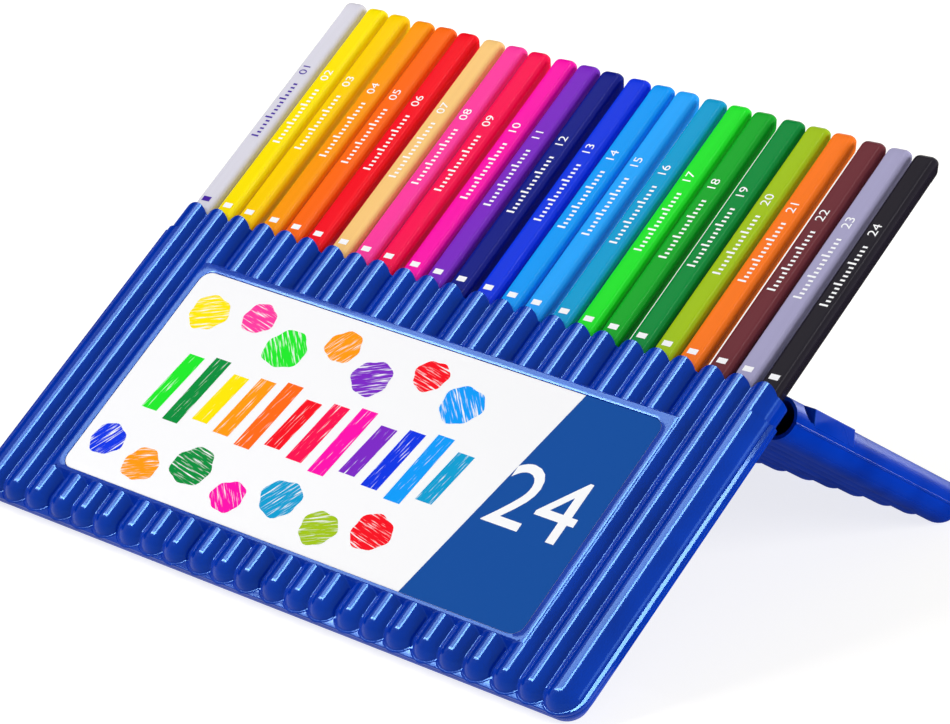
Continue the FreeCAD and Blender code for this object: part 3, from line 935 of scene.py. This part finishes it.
wood = cutBasswood()
whiteInk = screenInk("whiteScreenInk", ink["white"])
violetInk = screenInk("violetScreenInk", ink["violet"])
firstCasing = smoothSheet(outwardFaces(makeCasing("pencilBlank")), 30)
firstCore = makeCore("pencilLead")
for number, x in enumerate(tubes, 1):
    casing = ownCopy(firstCasing, "pencil%02dCasing" % number)
    coat(casing, lacqueredWood(number), wood)
    paintWood(casing)
    core = ownCopy(firstCore, "pencil%02dCore" % number)
    coat(core, waxPigment(number))
    for piece, kind, slot in ((casing, "casing", "lacquer"), (core, "core", "pigment")):
        moveMesh(piece, pencilMatrix(x))
        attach(piece, "pencil_%02d" % number)
        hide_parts("pencil_%02d_%s" % (number, kind))
    printed = pencilMarks(number)
    coat(printed, violetInk if number == 1 else whiteInk)
    moveMesh(printed, pencilMatrix(x))
    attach(printed, "pencil_%02d" % number)
for spare in (firstCasing, firstCore):
    bpy.data.objects.remove(spare)
print("pencils made")

# Label: coated card with rubbed spots, a row of rubbed strokes, a band and the number of pencils.
# A spot has its middle, size and colour number, and a stroke its colour number.
label = {"card": "#F9F9FB", "band": "#0C4C9C", "roughness": 0.25, "level": 0.15, "fibre": 0.4,
         "edge": 0.05, "layer": 0.01, "lift": 0.02, "inset": 0.02, "bandLow": 40, "bandHigh": 53}
rubbing = {"stroke": 0.5, "stretch": 0.07, "paper": "#F8F8FA", "roughness": 0.5, "level": 0.12,
           "soft": 0.14, "bare": {"Spot": 0.53, "Stroke": 0.6}, "strokeTurn": 12}
spots = [(-68, 66, 6.2, 2), (-52, 69, 5.2, 8), (-38, 63, 6.6, 17), (-22, 69, 5.4, 4), (-8, 63, 6.0, 11),
         (8, 69, 5.2, 6), (22, 64, 6.4, 14), (-70, 22, 5.4, 13), (-55, 18.5, 5.6, 4), (-40, 23, 6.4, 19),
         (-24, 18.5, 5.2, 10), (-9, 23, 6.2, 16), (7, 19, 5.6, 20), (22, 23, 6.0, 6)]
strokes = [17, 19, 2, 4, 5, 6, 9, 10, 11, 13, 14, 16]
strokeRow = {"start": -76, "step": 8.6, "middle": 43.5, "wide": 5.4, "slant": 2.8, "tall": 8.0, "rise": 1.4}
count = {"words": "24", "size": 27, "x": 60.5, "y": 44.5}


def coatedCard():
    material, tree, shader = newMaterial("coatedLabelCard")
    finishShader(shader, label)
    fillInputs(shader, {"Base Color": label["card"],
                        "Normal": fineGrain(tree, label["fibre"], 0.05, 0.00003, 3.0)})
    return material


# Colour rubbed on paper with a pencil's side: streaks with paper showing between
def rubbedPencil(name, code, degrees, bare):
    material, tree, shader = newMaterial(name)
    point = drawnOutPoint(tree, rubbing["stretch"], degrees)
    tone = patternTone(tree, point, rubbing["stroke"], 3.0, (bare, hexColour(code)),
                       (bare + rubbing["soft"], hexColour(rubbing["paper"])))[1]
    finishShader(shader, rubbing)
    fillInputs(shader, {"Base Color": tone})
    return material


def onCard(thing, material, name):
    thing.name = name
    coat(thing, material)
    moveMesh(thing, caseToRow)
    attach(thing, "case")


def inkLayer(name, corners, material):
    onCard(prism(name, corners, (0, 0, label["layer"])), material, name)


def rubbedLayer(kind, number, corners, shade, degrees):
    rubbed = rubbedPencil("rubbed%s%02d" % (kind, number), colours[shade - 1], degrees, rubbing["bare"][kind])
    inkLayer("label%s%02d" % (kind, number), corners, rubbed)


def spotCorners(number, x, y, size, level):
    corners = []
    for step in range(40):
        turn = 2 * math.pi * step / 40
        wobble = size * (1 + 0.05 * math.sin(3 * turn + number) + 0.04 * math.sin(7 * turn + 2 * number))
        corners.append(Vector((x + wobble * math.cos(turn), y + wobble * 0.9 * math.sin(turn), level)))
    return corners


def strokeCorners(number, level):
    x = strokeRow["start"] + strokeRow["step"] * number
    tall = strokeRow["tall"] + strokeRow["rise"] * (number % 3)
    low, high = strokeRow["middle"] - tall, strokeRow["middle"] + tall
    wide, slant = strokeRow["wide"], strokeRow["slant"]
    return [Vector((x, low, level)), Vector((x + wide, low, level)),
            Vector((x + wide + slant, high, level)), Vector((x + slant, high, level))]


# right part of the card's outline, closed by a slanting line
def bandCorners(halfX, low, high, level):
    steps = 10
    corners = roundedCorners(halfX, low, high, plate["corner"] - plate["gap"], level, steps)
    right = [spot for spot in corners if spot.x > 0]
    return ([Vector((label["bandHigh"], high, level)), Vector((label["bandLow"], low, level))]
            + right[steps + 1:] + right[:steps + 1])


cardTop = body["crest"] + plate["proud"] - plate["recess"] + plate["card"]
cardHalf = tubeX(plate["lastTube"]) - plate["frame"] - plate["gap"]
cardLow = plate["low"] + plate["lowFrame"] + plate["gap"]
cardHigh = plate["high"] - plate["frame"] - plate["gap"]
inkLevel = cardTop + label["lift"]
card = prism("labelCard", roundedCorners(cardHalf, cardLow, cardHigh, plate["corner"] - plate["gap"],
                                         cardTop - plate["card"]), (0, 0, plate["card"]), label["edge"])
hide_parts("label_card")
onCard(card, coatedCard(), "labelCard")
for number, (x, y, size, shade) in enumerate(spots, 1):
    rubbedLayer("Spot", number, spotCorners(number, x, y, size, inkLevel), shade, 30 + 35 * (number % 4))
for number, shade in enumerate(strokes, 1):
    rubbedLayer("Stroke", number, strokeCorners(number, inkLevel), shade, rubbing["strokeTurn"])
inkLayer("labelBand", bandCorners(cardHalf - label["inset"], cardLow + label["inset"],
                                  cardHigh - label["inset"], inkLevel),
         screenInk("blueBandInk", label["band"]))
countSpot = (count["x"], count["y"], inkLevel + label["lift"])
onCard(writtenNumber("count", count["words"], count["size"], countSpot, turned=False), whiteInk, "labelCount")
print("label made")

# Studio. A panel has its way from the case, in the flat case's axes, its size across and along, how
# bright it is, and what shows it: diffuse light on everything, or a reflection on the moulded pieces
# or the pencils alone. A dark card has its way, its distance and its size, and only gloss shows it: painted
# shade in the reflections.
studio = {"floor": "#A9A69E", "floorGlow": 0.78, "floorSize": 8, "roughness": 0.9, "white": "#FFFFFF",
          "diffuseWorld": 0.22, "distance": 1.6}
panels = {"keySoftbox": ((-0.55, 0.1, 0.83), 1.0, 1.0, 6.2, "diffuse"),
          "fillSoftbox": ((0.62, -0.3, 0.72), 0.8, 0.8, 1.6, "diffuse"),
          "backSoftbox": ((0.9, 0.48, -0.09), 1.2, 0.8, 9.0, "diffuse"),
          "brightStrip": ((-0.27, 0.3, 0.92), 0.24, 0.9, 36.0, "moulded"),
          "middleStrip": ((-0.50, 0.3, 0.81), 0.5, 0.9, 9.0, "moulded"),
          "tubeEndPanel": ((-0.48, 0.13, 0.87), 0.7, 0.16, 30.0, "moulded"),
          "sideStrip": ((0.93, 0.33, 0.16), 0.3, 0.9, 3.6, "moulded"),
          "rimStrip": ((-0.06, 0.88, -0.44), 0.8, 0.25, 8.0, "moulded"),
          "pencilStrip": ((0.12, 0.36, 0.92), 0.1, 1.1, 14.0, "pencils")}
reflectionShadeCard = {"black": "#141414", "roughness": 0.9, "level": 0.1}


# stands a flat thing off in a direction of the flat case's axes, with its face or its light to the case
def facingCase(way, distance):
    towards = (Vector((way[0], 0, 0)) + along * way[1] + outward * way[2]).normalized()
    upward = (along - towards * along.dot(towards)).normalized()
    turn = Matrix((upward.cross(towards), upward, towards)).transposed().to_4x4()
    return Matrix.Translation(towards * distance) @ turn


def lightPanel(name, receivers, way, wide, high, radiance, shownBy):
    lamp = bpy.data.lights.new(name, "AREA")
    lamp.shape = "RECTANGLE"
    lamp.size, lamp.size_y = wide, high
    lamp.energy = radiance * math.pi * wide * high
    thing = bpy.data.objects.new(name, lamp)
    bpy.context.collection.objects.link(thing)
    thing.matrix_world = facingCase(way, studio["distance"])
    thing.visible_glossy = shownBy != "diffuse"
    thing.visible_diffuse = shownBy == "diffuse"
    if shownBy in receivers:
        thing.light_linking.receiver_collection = receivers[shownBy]


# collections of the pieces that a strip's reflection is meant for
def receiverGroups():
    receivers = {kind: bpy.data.collections.new(kind) for kind in ("moulded", "pencils")}
    for thing in bpy.data.objects:
        if thing.type == "MESH" and thing.data.materials:
            for kind, finish in (("moulded", blue.name), ("pencils", "gloss")):
                if thing.data.materials[0].name.startswith(finish):
                    receivers[kind].objects.link(thing)
    return receivers


def stagePlane(name, size, material):
    thing = added(name, bpy.ops.mesh.primitive_plane_add, size=size)
    coat(thing, material)
    return thing


# dark card that only reflections see, hidden from the camera, from diffuse light and from shadows: painted
# shade in the gloss
def blackCard(name, matrix, wide, high):
    material, tree, shader = newMaterial(name + "Cloth")
    fillInputs(shader, {"Base Color": reflectionShadeCard["black"]})
    finishShader(shader, reflectionShadeCard)
    flag = stagePlane(name, 1, material)
    moveMesh(flag, matrix @ Matrix.Diagonal((wide, high, 1, 1)))
    for ray in ("camera", "diffuse", "transmission", "volume_scatter", "shadow"):
        setattr(flag, "visible_" + ray, False)


def makeFloor():
    material, tree, shader = newMaterial("whitePaperFloor")
    fillInputs(shader, {"Base Color": studio["floor"], "Emission Color": studio["white"],
                        "Emission Strength": studio["floorGlow"]})
    finishShader(shader, studio)
    stagePlane("studioFloor", studio["floorSize"], material)


# white to the camera, to gloss and through glass, and a soft fill to the rest
def makeWorld():
    world = bpy.context.scene.world or bpy.data.worlds.new("studioWorld")
    bpy.context.scene.world = world
    world.use_nodes = True
    tree = world.node_tree
    tree.nodes.clear()
    path = addNode(tree, "ShaderNodeLightPath")
    seen = path.outputs["Is Camera Ray"]
    for kind in ("Is Glossy Ray", "Is Transmission Ray"):
        seen = addNode(tree, "ShaderNodeMath", {0: seen, 1: path.outputs[kind]},
                       operation="MAXIMUM").outputs[0]
    dim, bright = (addNode(tree, "ShaderNodeBackground", {"Color": studio["white"], "Strength": strength})
                   for strength in (studio["diffuseWorld"], 1.0))
    mix = addNode(tree, "ShaderNodeMixShader", {"Fac": seen, 1: dim.outputs["Background"],
                                                2: bright.outputs["Background"]})
    addNode(tree, "ShaderNodeOutputWorld", {"Surface": mix.outputs["Shader"]})


# camera in the flat case's millimetres, measured from the middle of the first tube
view = {"place": (761.45, -306.41, 750.25), "right": (0.75234, 0.54283, -0.37326),
        "down": (0.24804, -0.75831, -0.60286), "ahead": (-0.61029, 0.36098, -0.70515),
        "focal": 4218.4, "imageWidth": 950, "sensor": 36}


def makeCamera():
    data = bpy.data.cameras.new("photoCamera")
    data.sensor_fit = "HORIZONTAL"
    data.sensor_width = view["sensor"]
    data.lens = view["sensor"] * view["focal"] / view["imageWidth"]
    data.clip_start, data.clip_end = 0.01, 20
    camera = bpy.data.objects.new("photoCamera", data)
    bpy.context.collection.objects.link(camera)
    spot = Vector(view["place"]) - Vector((rowEdge, 0, 0))
    turn = Matrix((Vector(view["right"]), -Vector(view["down"]), -Vector(view["ahead"]))).transposed()
    stand = caseToRow.to_3x3().normalized()
    camera.matrix_world = Matrix.Translation(caseToRow @ spot) @ (stand @ turn).to_4x4()
    bpy.context.scene.camera = camera


makeFloor()
makeWorld()
# dark card to the left: painted shade in the reflections on the tubes' left flanks
blackCard("leftFlag", facingCase((-0.94, 0.3, 0.12), 0.9), 0.9, 1.3)
# dark card just above the floor: a painted shadow of the floor, seen only in reflections, chiefly on the lid
blackCard("floorFlag", Matrix.Translation((0.25, 0.4, 0.001)), 1.0, 0.9)
receivers = receiverGroups()
for name, settings in panels.items():
    lightPanel(name, receivers, *settings)
makeCamera()
bpy.context.scene.view_settings.view_transform = "Standard"
print("scene ready")
